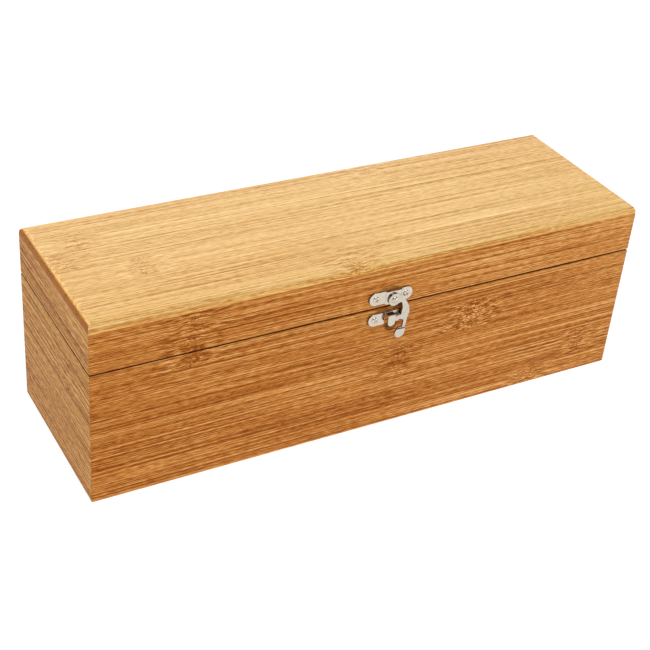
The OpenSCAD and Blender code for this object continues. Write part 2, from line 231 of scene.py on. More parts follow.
def paper_material():
    material, w = blank_tree(bpy.data.materials.new("white_paper"))
    paper, shaded = (w.add("ShaderNodeBsdfDiffuse", {"Color": (grey, grey, grey, 1)}).outputs[0]
                     for grey in (PAPER, PAPER_SHADE))
    glow = w.add("ShaderNodeEmission", {"Strength": PAPER_GLOW}).outputs[0]
    white = w.add("ShaderNodeAddShader", {0: shaded, 1: glow}).outputs[0]
    both = w.add("ShaderNodeMixShader", {0: seen_directly(w), 1: paper, 2: white}).outputs[0]
    clear = w.add("ShaderNodeBsdfTransparent").outputs[0]
    table = w.add("ShaderNodeMixShader", {
        0: w.add("ShaderNodeLightPath").outputs["Is Shadow Ray"], 1: both, 2: clear})
    w.add("ShaderNodeOutputMaterial", {"Surface": table.outputs[0]})
    return material


def make_floor():
    bpy.ops.mesh.primitive_plane_add(size=FLOOR_SIZE, location=(0, 0, -FLOOR_DROP * MM))
    floor = bpy.context.object
    floor.name = "paper_sweep"
    floor.data.materials.append(paper_material())
    return floor


print("floor:", make_floor().name)

# %% [markdown]
# ## The sky
# The camera sees a plain white sky. The wood gets only a faint light from it, so that no
# crack turns pitch black. Polished metal has no colour of its own and shows what is round
# it, and a sky that is white all over would leave it flat. So the metal sees a sky that is
# bright low down and dim overhead, as in a studio with white walls and a dark ceiling.

# %% Sky
SKY = 0.06                     # light that comes from all round
SKYLINE = 0.01                 # half the height over which it sets in, 1 being overhead
HORIZON, CEILING = 1.0, 0.12   # how bright polished metal sees the sky, low and overhead
WALL_TOP = (0.12, 0.45)        # heights between which the one turns into the other


def make_sky():
    world, w = blank_tree(bpy.data.worlds.new("studio"))
    path = w.add("ShaderNodeLightPath").outputs
    way = w.add("ShaderNodeTexCoord").outputs["Generated"]
    height = w.add("ShaderNodeSeparateXYZ", {0: way}).outputs["Z"]
    mirrored = w.fade(height, *WALL_TOP, HORIZON, CEILING)
    plain = w.fade(height, -SKYLINE, SKYLINE, 0.0, SKY)
    strength = w.plus(w.times(path["Is Glossy Ray"], w.minus(mirrored, plain)), plain)
    clear = w.calc("MAXIMUM", path["Is Camera Ray"], path["Is Transmission Ray"])
    strength = w.plus(w.times(clear, w.minus(1.0, strength)), strength)
    sky = w.add("ShaderNodeBackground", {"Color": (1, 1, 1, 1), "Strength": strength})
    w.add("ShaderNodeOutputWorld", {"Surface": sky.outputs[0]})
    scene.world = world
    return world


print("sky:", make_sky().name)

# %% [markdown]
# ## Lamps
# A sun lamp can be made soft: the wider the angle that it fills, the softer its shadows. A
# broad one overhead lights the lid and its rounded front edge, one on the left lights the
# near end, and one behind lights the back for the other views. In the picture the latch
# throws its shadows up and to the left, so the lamp that lights the front stands low on the
# right, below the level of the table, and shines up through it. It stays out of the metal's
# reflections, and a weak one just above the table gives the screws a glint in its place.

# %% Lamps
LAMPS = [
    # name, azimuth, elevation, strength, softness in degrees, seen in polished metal
    ("low_right", 52, 3, 0.3, 14, True),
    ("left", -86, 26, 2.3, 60, False),
    ("top", 5, 65, 1.68, 50, True),
    ("back", 165, 9, 2.1, 60, True),
    ("under_table", 56, -34, 3.9, 11, False),
]


def sun(name, azimuth, elevation, strength, softness, shiny):
    """A broad, distant lamp; its softness is the angle that it fills, in degrees."""
    data = bpy.data.lights.new(name, "SUN")
    data.energy, data.angle = strength, math.radians(softness)
    lamp = bpy.data.objects.new(name, data)
    lamp.rotation_mode = "QUATERNION"
    lamp.rotation_quaternion = (-camera_back(azimuth, elevation)).to_track_quat("-Z", "Y")
    lamp.visible_glossy = shiny
    scene.collection.objects.link(lamp)


for lamp in LAMPS:
    sun(*lamp)

# %% [markdown]
# ## Bamboo
# Bamboo board is glued up from flat strips of the stem's wall, about 20 mm wide. Each strip
# keeps its own tone and has a knuckle, the scar of the stem's joint, every foot or so. Its
# fibres run dead straight along the strip and swirl only round a knuckle. An image texture
# would stretch over the edges, so the grain is solid: a formula of the place inside the
# wood, which carries on round every edge and looks cut, not wrapped.
#
# One node group holds what all strips share. It is given the place in millimetres along the
# fibres, across the strip and into the board, and gives back a shade from 0 dark to 1 pale.
# We build it in three steps: the knuckle first, because the fibres stray round it, then the
# fibres, then the group that joins them.

# %% Knuckles
KNUCKLE_REACH = 30.0   # mm along the strip that a knuckle disturbs
KNUCKLE_CORE = 8.0     # mm of mottled scar
KNUCKLE_BEND = 26.0    # mm, how crooked the line is that it follows across the strip
BEND_ACROSS, BEND_DEPTH = 0.10, 0.01    # bends per mm across the strip and into the board
SWIRL = 3.4            # mm that the fibres stray sideways
SWIRL_GRAIN, SWIRL_ACROSS = 0.17, 0.26  # swirls per mm along and across the fibres
DOME = 1.6             # mm that the fibres rise towards the surface
SWIRL_END = (0.75, 1.1)  # where the swirl ends, 0 in the middle of the strip, 1 at its edges
SCAR_END = (0.7, 1.1)    # the same for the scar
SCAR_LEFT = 0.4          # how much of the scar is left there


def knuckle_parts(w, grain, across, depth, knuckle_at, strip_middle, strip_half, strength):
    """Masks of the knuckle and the strayed place of the fibres round it."""
    bend = w.noise(w.point(w.times(across, BEND_ACROSS), w.times(depth, BEND_DEPTH), 7.0))
    off = w.calc("ABSOLUTE", w.plus(w.minus(grain, knuckle_at), w.times(bend, KNUCKLE_BEND)))
    side = w.calc("DIVIDE", w.minus(across, strip_middle), strip_half)
    off_middle = w.times(side, side)
    reach = w.times(w.fade(off, 0.0, KNUCKLE_REACH), w.fade(off_middle, *SWIRL_END), strength)
    core = w.times(w.fade(off, 1.0, KNUCKLE_CORE),
                   w.fade(off_middle, *SCAR_END, 1.0, SCAR_LEFT), strength)
    swirl = w.noise(w.point(w.times(grain, SWIRL_GRAIN), w.times(across, SWIRL_ACROSS),
                            w.times(depth, SWIRL_ACROSS)))
    stray = w.times(swirl, reach, SWIRL)
    dome = w.times(reach, reach, DOME)
    return reach, core, w.plus(across, stray), w.plus(depth, dome)


print("a knuckle disturbs", 2 * KNUCKLE_REACH, "mm of a strip")

# %% [markdown]
# The fibres are noise that is stretched along the strip. One such noise looks like rain, so
# we add four, from short flecks to bands as broad as a thumb. Two kinds of darker marks lie
# over them: long thin lines, drawn where a slow noise passes zero, and the short dashes of
# cut fibre ends.

# %% Fibres
FIBRES = [
    # name, mm long, mm wide, strength
    ("fleck", 4.8, 0.52, 1.5),
    ("fine", 150.0, 0.62, 2.3),
    ("coarse", 320.0, 1.9, 0.26),
    ("broad", 460.0, 14.0, 0.22),
]
FIBRE_SLICES = 11.0    # keeps the four noises from repeating each other
LINE_PITCH = 5.5       # mm between the thin dark lines, on average
LINE_LENGTH = 260.0    # mm that they run before they wander off
LINE_WIDTH = 0.045     # how near to zero the slow noise is on a line
BREAK_LENGTH, BREAK_WIDTH = 45.0, 3.0   # mm along and across from one break in them to the next
LINE_SHOWS = (-0.08, 0.12)              # a second noise, from where a line is broken to whole
DASH_GRAIN, DASH_ACROSS = 0.17, 1.6     # cut fibre ends per mm along and across the fibres
DASH_SHOWS = (0.04, 0.20)               # their noise, from where there is none to a full one


def streaks(w, grain, across, depth):
    """Streaks of all sizes, from flecks to broad bands, added up."""
    total = 0.0
    for index, (_, length, width, strength) in enumerate(FIBRES):
        place = w.point(w.times(grain, 1 / length), w.times(across, 1 / width),
                        w.plus(w.times(depth, 1 / width), FIBRE_SLICES * index))
        total = w.plus(w.times(w.noise(place), strength), total)
    return total


def thin_lines(w, grain, across, depth):
    """1 along the thin lines where a slow noise passes zero, else 0."""
    place = w.point(w.times(grain, 1 / LINE_LENGTH), w.times(across, 1 / LINE_PITCH),
                    w.times(depth, 1 / LINE_PITCH))
    along = w.noise(w.point(w.times(grain, 1 / BREAK_LENGTH), w.times(across, 1 / BREAK_WIDTH),
                            5.0), 1.0)
    line = w.fade(w.calc("ABSOLUTE", w.noise(place, 1.0)), 0.0, LINE_WIDTH)
    return w.times(line, w.fade(along, *LINE_SHOWS, 0.0, 1.0))


def fibre_ends(w, grain, across, depth):
    """1 on the short dashes where a fibre was cut across, else 0."""
    place = w.point(w.times(grain, DASH_GRAIN), w.times(across, DASH_ACROSS),
                    w.times(depth, DASH_ACROSS))
    return w.fade(w.noise(place, 1.0), *DASH_SHOWS, 0.0, 1.0)


print("kinds of streak:", [name for name, *_ in FIBRES])

# %% [markdown]
# The group adds the knuckle's scar to the streaks and takes the marks away. It also draws the
# glue line along the strip's two edges, which shows in some places and not in others. It
# gives back the relief too, for the bump: every dark mark is a little groove.

# %% The strip group
WANDER = 2.0           # mm that all the fibres drift sideways together
WANDER_LENGTH = 200.0  # mm along the fibres over which they do
WANDER_WIDTH = 60.0    # mm across them that drift alike
LINE_DEPTH = 0.09      # how much darker a thin line is
DASH_DEPTH = 0.12      # the same for a fibre's end
JOINT_DEPTH = 0.36     # and for the glue line between two strips
JOINT_WIDTH = (0.1, 0.7)     # mm from a strip's edge, from full glue line to none
JOINT_GRAIN, JOINT_INTO = 0.012, 0.01   # changes per mm, along the line and into the board
JOINT_SHOWS = (-0.10, 0.12)  # their noise, from where the line is faint to full
JOINT_FAINT = 0.2            # how much of it shows where it is faint
SCAR = 3.2             # strength of a knuckle's mottling
SCAR_TOP = 0.03        # how pale it may get, so that it is dark flecks on plain wood
SCAR_GRAIN, SCAR_ACROSS, SCAR_INTO = 0.75, 0.6, 0.4   # its flecks per mm
FLARE = 0.3            # how much more the streaks swing round a knuckle
FLARE_DARK = 0.07      # how much darker the wood is there
GROOVE = 3.0           # how deep the marks are, against the streaks


def knuckle_scar(w, grain, across, depth, core):
    """The dark mottling in the middle of a knuckle."""
    place = w.point(w.times(grain, SCAR_GRAIN), w.times(across, SCAR_ACROSS),
                    w.times(depth, SCAR_INTO))
    return w.times(core, w.calc("MINIMUM", w.noise(place, 2.0, 0.6), SCAR_TOP), SCAR)


def glue_line(w, grain, across, depth, middle, half):
    """1 along the strip's edges, where the glue shows, else 0."""
    edge = w.minus(half, w.calc("ABSOLUTE", w.minus(across, middle)))
    here = w.noise(w.point(w.times(grain, JOINT_GRAIN), middle, w.times(depth, JOINT_INTO)))
    return w.times(w.fade(edge, *JOINT_WIDTH), w.fade(here, *JOINT_SHOWS, JOINT_FAINT, 1.0))


def drift_together(w, grain, across, depth):
    """How far, in mm, the fibres drift sideways here."""
    place = w.point(w.times(grain, 1 / WANDER_LENGTH), w.times(across, 1 / WANDER_WIDTH),
                    w.times(depth, 1 / WANDER_WIDTH))
    return w.times(w.noise(place, 1.0), WANDER)


def make_strip_group():
    tree = bpy.data.node_groups.new("bamboo_strip", "ShaderNodeTree")
    for name in ("Grain", "Across", "Depth", "Tone", "Knuckle at", "Knuckle strength",
                 "Strip middle", "Strip half", "Fineness"):
        tree.interface.new_socket(name, in_out="INPUT", socket_type="NodeSocketFloat")
    for name in ("Shade", "Relief"):
        tree.interface.new_socket(name, in_out="OUTPUT", socket_type="NodeSocketFloat")
    w = Wiring(tree)
    given = w.add("NodeGroupInput").outputs
    grain, across, depth = given["Grain"], given["Across"], given["Depth"]
    middle, half = given["Strip middle"], given["Strip half"]
    reach, core, across_in, depth_in = knuckle_parts(
        w, grain, across, depth, given["Knuckle at"], middle, half, given["Knuckle strength"])
    across_in = w.plus(across_in, drift_together(w, grain, across, depth))
    across_in, depth_in = (w.times(mm, given["Fineness"]) for mm in (across_in, depth_in))
    grainy = streaks(w, grain, across_in, depth_in)
    scar = knuckle_scar(w, grain, across_in, depth, core)
    flare = w.times(reach, w.minus(w.times(grainy, FLARE), FLARE_DARK))
    marks = w.plus(w.times(fibre_ends(w, grain, across_in, depth_in), DASH_DEPTH),
                   w.times(thin_lines(w, grain, across_in, depth_in), LINE_DEPTH),
                   w.times(glue_line(w, grain, across, depth, middle, half), JOINT_DEPTH))
    out = w.add("NodeGroupOutput")
    w.feed(out.inputs["Shade"], w.minus(w.plus(given["Tone"], grainy, scar, flare), marks))
    w.feed(out.inputs["Relief"], w.minus(w.plus(grainy, scar), w.times(marks, GROOVE)))
    return tree


strip_group = make_strip_group()
print("strip group has", len(strip_group.nodes), "nodes")

# %% [markdown]
# A board is a row of such strips. Each strip needs its own tone, its own knuckle and its own
# stretch of fibre, or all would look cut from one stem. A colour ramp with hard steps works
# as a card index: we look up the strip's number, and the ramp's red, green and blue give the
# tone, the knuckle's place and the shift of the fibre. Its alpha gives the knuckle's strength.

# %% A row of strips
CARD_LENGTH = 800.0    # mm that a knuckle's place is counted over, so that it fits 0 to 1
NONE = 390.0           # mm, a place so far out that its strip shows no knuckle
FIBRE_SHIFT = 900.0    # mm that a full shift moves a strip's stretch of fibre
SHIFT_STEP = 0.37      # shift from one strip to the next, the whole part dropped


def row_of_strips(w, grain, across, depth, first, width, strips, fineness):
    """The strip group, fed with the cards of the strip that the place lies in."""
    number = w.calc("FLOOR", w.calc("DIVIDE", w.minus(across, first), width))
    number = w.calc("MINIMUM", w.calc("MAXIMUM", number, 0), len(strips) - 1)
    cards = [(i / len(strips), (tone, place / CARD_LENGTH + 0.5, (i * SHIFT_STEP) % 1, strength))
             for i, (tone, place, strength) in enumerate(strips)]
    card = w.ramp(w.calc("DIVIDE", w.plus(number, 0.5), len(strips)), cards, steps=True)
    tone, knuckle, shift = w.add("ShaderNodeSeparateColor", {0: card}).outputs
    return w.add("ShaderNodeGroup", {
        "Grain": grain, "Across": across, "Depth": w.plus(depth, w.times(shift, FIBRE_SHIFT)),
        "Tone": tone, "Knuckle at": w.times(w.minus(knuckle, 0.5), CARD_LENGTH),
        "Knuckle strength": card.node.outputs["Alpha"],
        "Strip middle": w.plus(w.times(w.plus(number, 0.5), width), first),
        "Strip half": width / 2, "Fineness": fineness}, node_tree=strip_group).outputs


print("a strip's card holds its tone, its knuckle and its shift")

# %% [markdown]
# Some of a board's looks depend on where a place is on the board, not on the strip. Rounded
# edges are a little paler, partly from sanding and partly as a painted highlight, the long sides
# are a little darker, a painted shade, and the ends, where the fibres are cut across, darker and
# redder. The normal tells us which is which: a flat face looks straight along one axis, a
# rounded edge looks between two. Last, a painted shadow darkens the outer part of the two rims
# that meet at the seam, so that the seam reads as a dark line.

# %% Edges, ends and seam
ROUNDED = (0.86, 0.99)   # how squarely a face looks along an axis, from rounded to flat
SIDEWAYS = (0.75, 0.97)  # how squarely it looks across the grain, from top to side
ENDWAYS = (0.58, 0.82)   # how squarely it looks along the grain, from side to end
BOARD_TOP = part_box("base_front_board")[1].z / MM
RAIL_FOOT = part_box("lid_front_rail")[0].z / MM
SEAM_AT = (BOARD_TOP + RAIL_FOOT) / 2   # mm up, the middle of the gap between base and lid
# painted shadow: the dark of the gap between lid and base, laid as colour on the rims
SEAM_PAINTED_SHADOW = srgb(60, 20, 4)
SEAM_CLEAR = 1.2         # mm from the seam at which the paler edge, sanding and painted highlight, begins
SEAM_SHADOW_FADE = 0.14         # mm over which the painted seam shadow ends, away from the seam
SEAM_SHADOW_IN = (1.9, 1.0)     # mm inwards from the outer face at which it ends and is full


def painted_seam_shadow(w, off_seam, depth, outer, shadow_reach):
    """1 where the seam's shadow is painted: the outer millimetre or two of its rims, else 0."""
    near = w.fade(off_seam, shadow_reach, shadow_reach + SEAM_SHADOW_FADE)
    ends, full = (outer - mm for mm in SEAM_SHADOW_IN)
    return w.times(near, w.fade(w.calc("ABSOLUTE", depth), ends, full, 0.0, 1.0))


def edges_worn_and_lit(w, on_grain, on_across, on_depth, off_seam, sanded_and_highlit, side_shade):
    """How much paler the rounded edges are, from sanding and a painted highlight, and, below 0,
    how much darker the long sides are, a painted shade.
    """
    squarely = w.calc("MAXIMUM", w.calc("MAXIMUM", on_grain, on_across), on_depth)
    # paler rounded edges: partly sanding, partly a painted highlight
    arris_worn_and_highlit = w.times(w.fade(squarely, *ROUNDED, sanded_and_highlit, 0.0),
                    w.fade(off_seam, SEAM_CLEAR, 2 * SEAM_CLEAR, 0.0, 1.0))
    # darker long sides: a painted shade
    return arris_worn_and_highlit, w.fade(on_across, *SIDEWAYS, 0.0, -side_shade)


print("the seam is", round(SEAM_AT, 2), "mm up")

# %% [markdown]
# One function now makes the finish of any board, since the boards differ only in numbers: how
# the strips lie, their colours, and how much paler their rounded edges are, from sanding and a
# painted highlight. Real lacquer sinks a little into the grain. So the relief of the strips bends
# the light a little, and the low places are rougher than the high ones.

# %% A finish for a board
RELIEF = 0.35                # how much the relief bends the light
RELIEF_HEIGHT = 0.06 * MM    # how high it stands
POLISH = 0.10                # how much smoother the high places are than the low ones
SHEEN = 0.15                 # specular level of satin lacquer on wood


def bamboo(name, axes, first, width, strips, shades, end_shades, contrast=1.0, drift=0.0,
           roughness=0.5, sanded_and_highlit=0.45, side_shade=0.0, fineness=1.0, outer=None, shadow_reach=0.36):
    """A board's material. Axes are the grain, across and depth axes, such as "XZY"; first is
    where the lowest strip begins, in mm; strips are (tone, knuckle's place, knuckle's
    strength) from there up; shades are the colours from dark to pale, contrast is how far the
    grain swings between them, drift is how much paler the board gets over 100 mm of its
    length; then come how much paler its rounded edges are, partly from sanding and partly as a
    painted highlight, and how much darker its long sides are, a painted shade. Fineness
    narrows the streaks. A board that meets the seam says how far out its outer face is, and
    how far from the seam, in mm, its rims carry the painted shadow of the seam's gap."""
    material, w, shader = new_material(name)
    where = w.add("ShaderNodeTexCoord").outputs
    split = w.add("ShaderNodeSeparateXYZ", {0: where["Object"]}).outputs
    grain, across, depth = (w.times(split[axis], 1 / MM) for axis in axes)
    strip = row_of_strips(w, grain, across, depth, first, width, strips, fineness)
    facing = w.add("ShaderNodeSeparateXYZ", {0: where["Normal"]}).outputs
    on_grain, on_across, on_depth = (w.calc("ABSOLUTE", facing[axis]) for axis in axes)
    off_seam = w.calc("ABSOLUTE", w.minus(w.times(split["Z"], 1 / MM), SEAM_AT))
    # paler rounded edges are partly a painted highlight, darker long sides a painted shade
    arris_worn_and_highlit, side = edges_worn_and_lit(w, on_grain, on_across, on_depth, off_seam, sanded_and_highlit, side_shade)
    shade = w.plus(w.times(w.minus(strip["Shade"], 0.5), contrast),
                   w.times(grain, drift / 100), arris_worn_and_highlit, side, 0.5)
    along, cut = (w.ramp(shade, [(i / (len(band) - 1), colour) for i, colour in enumerate(band)])
                  for band in (shades, end_shades))
    colour = w.mix(w.fade(on_grain, *ENDWAYS, 0.0, 1.0), along, cut)
    if outer:
        # the rims near the seam get a painted shadow of the gap
        colour = w.mix(painted_seam_shadow(w, off_seam, depth, outer, shadow_reach), colour, SEAM_PAINTED_SHADOW)
    bump = w.add("ShaderNodeBump", {"Strength": RELIEF, "Distance": RELIEF_HEIGHT,
                                    "Height": strip["Relief"]})
    w.feed(shader.inputs["Base Color"], colour)
    w.feed(shader.inputs["Roughness"], w.minus(roughness, w.times(strip["Relief"], POLISH)))
    w.feed(shader.inputs["Normal"], bump.outputs[0])
    shader.inputs["Specular IOR Level"].default_value = SHEEN
    return material


print("the relief stands", round(RELIEF_HEIGHT / MM, 3), "mm high")

# %% [markdown]
# The colours are listed dark to pale. The front and back boards are caramel, the lid
# panel is the paler honey, and the end boards are sandy. The broad lamp beside the near end
# pales it, so the sand is mixed a little deeper and yellower than it should look. Under the
# colours stand the boards: where the strips lie, how pale each is and where its knuckle is.

# %% Bamboo finishes
CARAMEL = [srgb(122, 60, 12), srgb(160, 92, 32), srgb(188, 121, 54), srgb(204, 146, 80),
           srgb(224, 174, 110)]
HONEY = [srgb(185, 124, 55), srgb(215, 159, 86), srgb(234, 187, 115), srgb(244, 202, 133),
         srgb(250, 217, 157)]
SAND = [srgb(122, 58, 2), srgb(160, 95, 16), srgb(186, 122, 38), srgb(204, 145, 62),
        srgb(220, 170, 94)]
RUSSET_ENDS = [srgb(116, 52, 2), srgb(184, 116, 34)]
FACE_Y = -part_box("base_front_board")[0].y / MM   # mm from the box's middle to its front
FACE_X = -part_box("base_left_board")[0].x / MM    # and to its end

lid_panel_finish = bamboo(
    "honey_bamboo", "XYZ", -58.0, 19.0,
    [(0.53, -22, 0.8), (0.51, NONE, 0), (0.56, -129, 0.7), (0.48, -168, 0.6), (0.53, -153, 0.6),
     (0.47, 42, 0.7)],
    HONEY, RUSSET_ENDS, contrast=0.85, drift=0.01, roughness=0.45, sanded_and_highlit=0.02, side_shade=0.3)
front_finish = bamboo(
    "caramel_bamboo_front", "XZY", -8.0, 21.0,
    [(0.42, 113, 0.9), (0.42, 152, 0.8), (0.49, 14, 0.7), (0.44, 64, 1.3), (0.47, -118, 0.8),
     (0.50, -118, 0.8)],
    CARAMEL, RUSSET_ENDS, drift=0.04, outer=FACE_Y)
back_finish = bamboo(
    "caramel_bamboo_back", "XZY", -4.0, 21.0,
    [(0.46, -60, 0.9), (0.50, 95, 0.8), (0.44, -140, 0.9), (0.53, 30, 0.7), (0.48, 128, 1.0),
     (0.50, -24, 0.8)],
    CARAMEL, RUSSET_ENDS, outer=FACE_Y)
left_finish = bamboo(
    "sand_bamboo_left", "YZX", -10.0, 21.2,
    [(0.50, NONE, 0), (0.51, NONE, 0), (0.54, NONE, 0), (0.55, -18, 0.6), (0.49, NONE, 0),
     (0.48, NONE, 0)],
    SAND, RUSSET_ENDS, contrast=2.0, drift=-0.03, fineness=1.3, outer=FACE_X, shadow_reach=0.5)
right_finish = bamboo(
    "sand_bamboo_right", "YZX", -6.0, 21.2,
    [(0.48, 20, 0.7), (0.55, NONE, 0), (0.47, NONE, 0), (0.52, NONE, 0), (0.46, -30, 0.6),
     (0.50, NONE, 0)],
    SAND, RUSSET_ENDS, contrast=1.0, fineness=1.4, outer=FACE_X, shadow_reach=0.5)
bottom_finish = bamboo(
    "caramel_bamboo_bottom", "XYZ", -60.0, 20.0,
    [(0.50, -90, 0.8), (0.44, 60, 0.8), (0.54, 140, 0.8), (0.48, -20, 0.8), (0.52, 100, 0.8),
     (0.46, -130, 0.8)],
    CARAMEL, RUSSET_ENDS)
cradle_finish = bamboo(
    "honey_bamboo_cradle", "YZX", 0.0, 20.0,
    [(0.50, NONE, 0), (0.55, NONE, 0), (0.46, NONE, 0), (0.52, NONE, 0), (0.50, NONE, 0)],
    HONEY, RUSSET_ENDS, contrast=0.7, sanded_and_highlit=0.0)
print("bamboo finishes:", [m.name for m in bpy.data.materials if "bamboo" in m.name])

# %% [markdown]
# ## Eased edges
# No edge on the real box is a perfect line: the boards are sanded by hand, and the metal is
# tumbled before it is plated. Such an edge catches a thin line of light, and that line is
# most of what makes a picture of a box look real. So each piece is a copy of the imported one
# whose triangles are merged into whole faces, and whose sharp edges then get a tiny bevel.

# %% A copy with eased edges
MERGE = 0.002 * MM        # corners nearer than this are one
FLAT = math.radians(0.6)  # triangles that bend less than this lie in one face
SHARP = 35                # degrees, an edge that bends more than this is eased
EASE_STEPS = 2            # narrow faces that round an eased edge


def merged_copy(node, name):
    """A new object with the node's shape, its loose triangles joined into faces."""
    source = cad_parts[node]
    mesh = source.data.copy()
    mesh.name = name
    mesh.materials.clear()
    if mesh.has_custom_normals:  # they belong to the loose triangles, and would bend the light
        mesh.attributes.remove(mesh.attributes["custom_normal"])
    shape = bmesh.new()
    shape.from_mesh(mesh)
    bmesh.ops.remove_doubles(shape, verts=shape.verts, dist=MERGE)
    bmesh.ops.dissolve_limit(shape, angle_limit=FLAT, verts=shape.verts, edges=shape.edges)
    shape.to_mesh(mesh)
    shape.free()
    piece = bpy.data.objects.new(name, mesh)
    scene.collection.objects.link(piece)
    return piece


def ease(piece, width, sharp=SHARP):
    """Rounds the piece's sharp edges to this width, in mm, and smooths its curved faces."""
    piece.data.shade_smooth()
    bevel = piece.modifiers.new("eased edges", "BEVEL")
    bevel.width, bevel.segments = width * MM, EASE_STEPS
    bevel.limit_method, bevel.angle_limit = "ANGLE", math.radians(sharp)
    bevel.harden_normals = True
    return piece


def dress(node, name, material, body, width):
    """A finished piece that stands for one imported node."""
    piece = ease(merged_copy(node, name), width)
    piece.data.materials.append(material)
    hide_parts(node)
    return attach(piece, body)


print("edges sharper than", SHARP, "degrees get", EASE_STEPS, "narrow faces")

# %% [markdown]
# Now the boards can be dressed. The four boards of the base and the four rails of the lid
# meet in mitres, and a rail is cut from the same board as the one below it, so both get the
# same finish and the grain runs on across the seam. The cradles inside were sawn and sanded
# round, so their edges are eased the most.

# %% Bamboo pieces
WOODWORK = [
    # node, name, finish, body, record slot, eased width in mm
    ("lid_top_panel", "lid_panel", lid_panel_finish, "lid", "bamboo_panel", 0.25),
    ("lid_front_rail", "lid_rail_front", front_finish, "lid", "bamboo_board", 0.25),
    ("lid_back_rail", "lid_rail_back", back_finish, "lid", "bamboo_board", 0.25),
    ("lid_left_rail", "lid_rail_left", left_finish, "lid", "bamboo_end", 0.25),
    ("lid_right_rail", "lid_rail_right", right_finish, "lid", "bamboo_end", 0.25),
    ("base_front_board", "board_front", front_finish, "base", "bamboo_board", 0.25),
    ("base_back_board", "board_back", back_finish, "base", "bamboo_board", 0.25),
    ("base_left_board", "board_left", left_finish, "base", "bamboo_end", 0.25),
    ("base_right_board", "board_right", right_finish, "base", "bamboo_end", 0.25),
    ("base_bottom_panel", "panel_bottom", bottom_finish, "base", "bamboo_board", 0.3),
    ("punt_end_cradle", "cradle_punt_end", cradle_finish, "base", "bamboo_inside", 0.6),
    ("shoulder_cradle", "cradle_shoulder", cradle_finish, "base", "bamboo_inside", 0.6),
    ("neck_cradle", "cradle_neck", cradle_finish, "base", "bamboo_inside", 0.6),
]
for node, name, finish, body, slot, width in WOODWORK:
    dress(node, name, finish, body, width)
print("bamboo pieces:", len(WOODWORK))

# %% [markdown]
# ## Nickel
# The latch and hinges are stamped from thin steel and nickel plated. Plated sheet is bright
# but not a mirror: the stamping leaves it faintly uneven, which blurs what it reflects.
#
# The latch's sheet stands upright, and its cut edges would catch the bright sky low down,
# where they should lie in shadow and mirror the dark wood round them. So the latch gets a
# finish of its own with a painted shade, which turns brown wherever the metal doesn't face
# forward.

# %% Nickel finishes
SPOT_SIZE = 1.2 * MM       # size of the unevenness that the stamping leaves
SPOT_DULL = 0.82           # colour of a dull spot, against the bright ones
SPOT_ROUGH = 0.25          # how much roughness swings from spot to spot
SPOT_HEIGHT = 0.05 * MM    # how much the sheet rises and falls
# painted shade: the brown given to upright cut edges for their shadow and dark reflection
CUT_EDGE_SHADE_PAINT = srgb(96, 58, 40)
CUT_EDGE = (0.25, 0.75)    # how squarely the metal faces forward, from cut edge to flat sheet


def nickel(name, colour, roughness, unevenness, painted_edge_shade=0.0):
    """Plated sheet. The last argument says how strongly the edges of flat sheet that stands
    upright are turned brown, a painted shade for the shadow and dark reflection they should show."""
    material, w, shader = new_material(name)
    where = w.add("ShaderNodeTexCoord").outputs
    place = w.add("ShaderNodeVectorMath", {0: where["Object"], "Scale": 1 / SPOT_SIZE},
                  operation="SCALE").outputs[0]
    spots = w.noise(place, 3.0, 0.6)
    dull = tuple(SPOT_DULL * c for c in colour[:3]) + (1.0,)
    plated = w.ramp(w.plus(spots, 0.5), [(0.25, dull), (0.6, colour)])
    facing = w.add("ShaderNodeSeparateXYZ", {0: where["Normal"]}).outputs["Y"]
    # edges that don't face forward turn brown: a painted shade
    edge_shaded = w.fade(w.calc("ABSOLUTE", facing), *CUT_EDGE, painted_edge_shade, 0.0)
    w.feed(shader.inputs["Base Color"], w.mix(edge_shaded, plated, CUT_EDGE_SHADE_PAINT))
    shader.inputs["Metallic"].default_value = 1.0
    w.feed(shader.inputs["Roughness"], w.plus(w.times(spots, SPOT_ROUGH), roughness))
    bump = w.add("ShaderNodeBump", {"Strength": unevenness, "Distance": SPOT_HEIGHT,
                                    "Height": spots})
    w.feed(shader.inputs["Normal"], bump.outputs[0])
    return material


nickel_sheet = nickel("nickel_sheet", srgb(216, 206, 190), 0.20, 0.35)
nickel_bright = nickel("nickel_bright", srgb(209, 200, 186), 0.14, 0.25)
latch_sheet = nickel("nickel_latch_sheet", srgb(216, 206, 190), 0.20, 0.35, painted_edge_shade=0.9)
latch_bright = nickel("nickel_latch_hook", srgb(209, 200, 186), 0.14, 0.25, painted_edge_shade=0.75)
print("nickel finishes:", [m.name for m in bpy.data.materials if "nickel" in m.name])

# %% [markdown]
# The metal is dressed like the wood. The latch's plates and hook lie in the middle of the
# picture, where the thin line of light along their edges can be seen, so they are eased more
# than the hinges. The small rivet is eased least.

# %% Metal pieces
METALWORK = [
    ("latch_plate", "latch_backplate", latch_sheet, "lid", "nickel_sheet", 0.22),
    ("latch_arm", "latch_hook", latch_bright, "latch", "nickel_bright", 0.3),
    ("latch_rivet", "latch_pivot_rivet", latch_bright, "lid", "nickel_bright", 0.08),
    ("keeper_plate", "latch_keeper", latch_sheet, "base", "nickel_sheet", 0.2),
]
for side in ("left", "right"):
    METALWORK += [
        (f"{side}_hinge_base_leaf", f"hinge_{side}_leaf_base", nickel_sheet, "base",
         "nickel_sheet", 0.15),
        (f"{side}_hinge_lid_leaf", f"hinge_{side}_leaf_lid", nickel_sheet, "lid",
         "nickel_sheet", 0.15),
        (f"{side}_hinge_pin", f"hinge_{side}_pin", nickel_bright, "base",
         "nickel_bright", 0.15),
    ]
metal = {name: dress(node, name, finish, body, width)
         for node, name, finish, body, slot, width in METALWORK}
print("metal pieces:", len(metal))

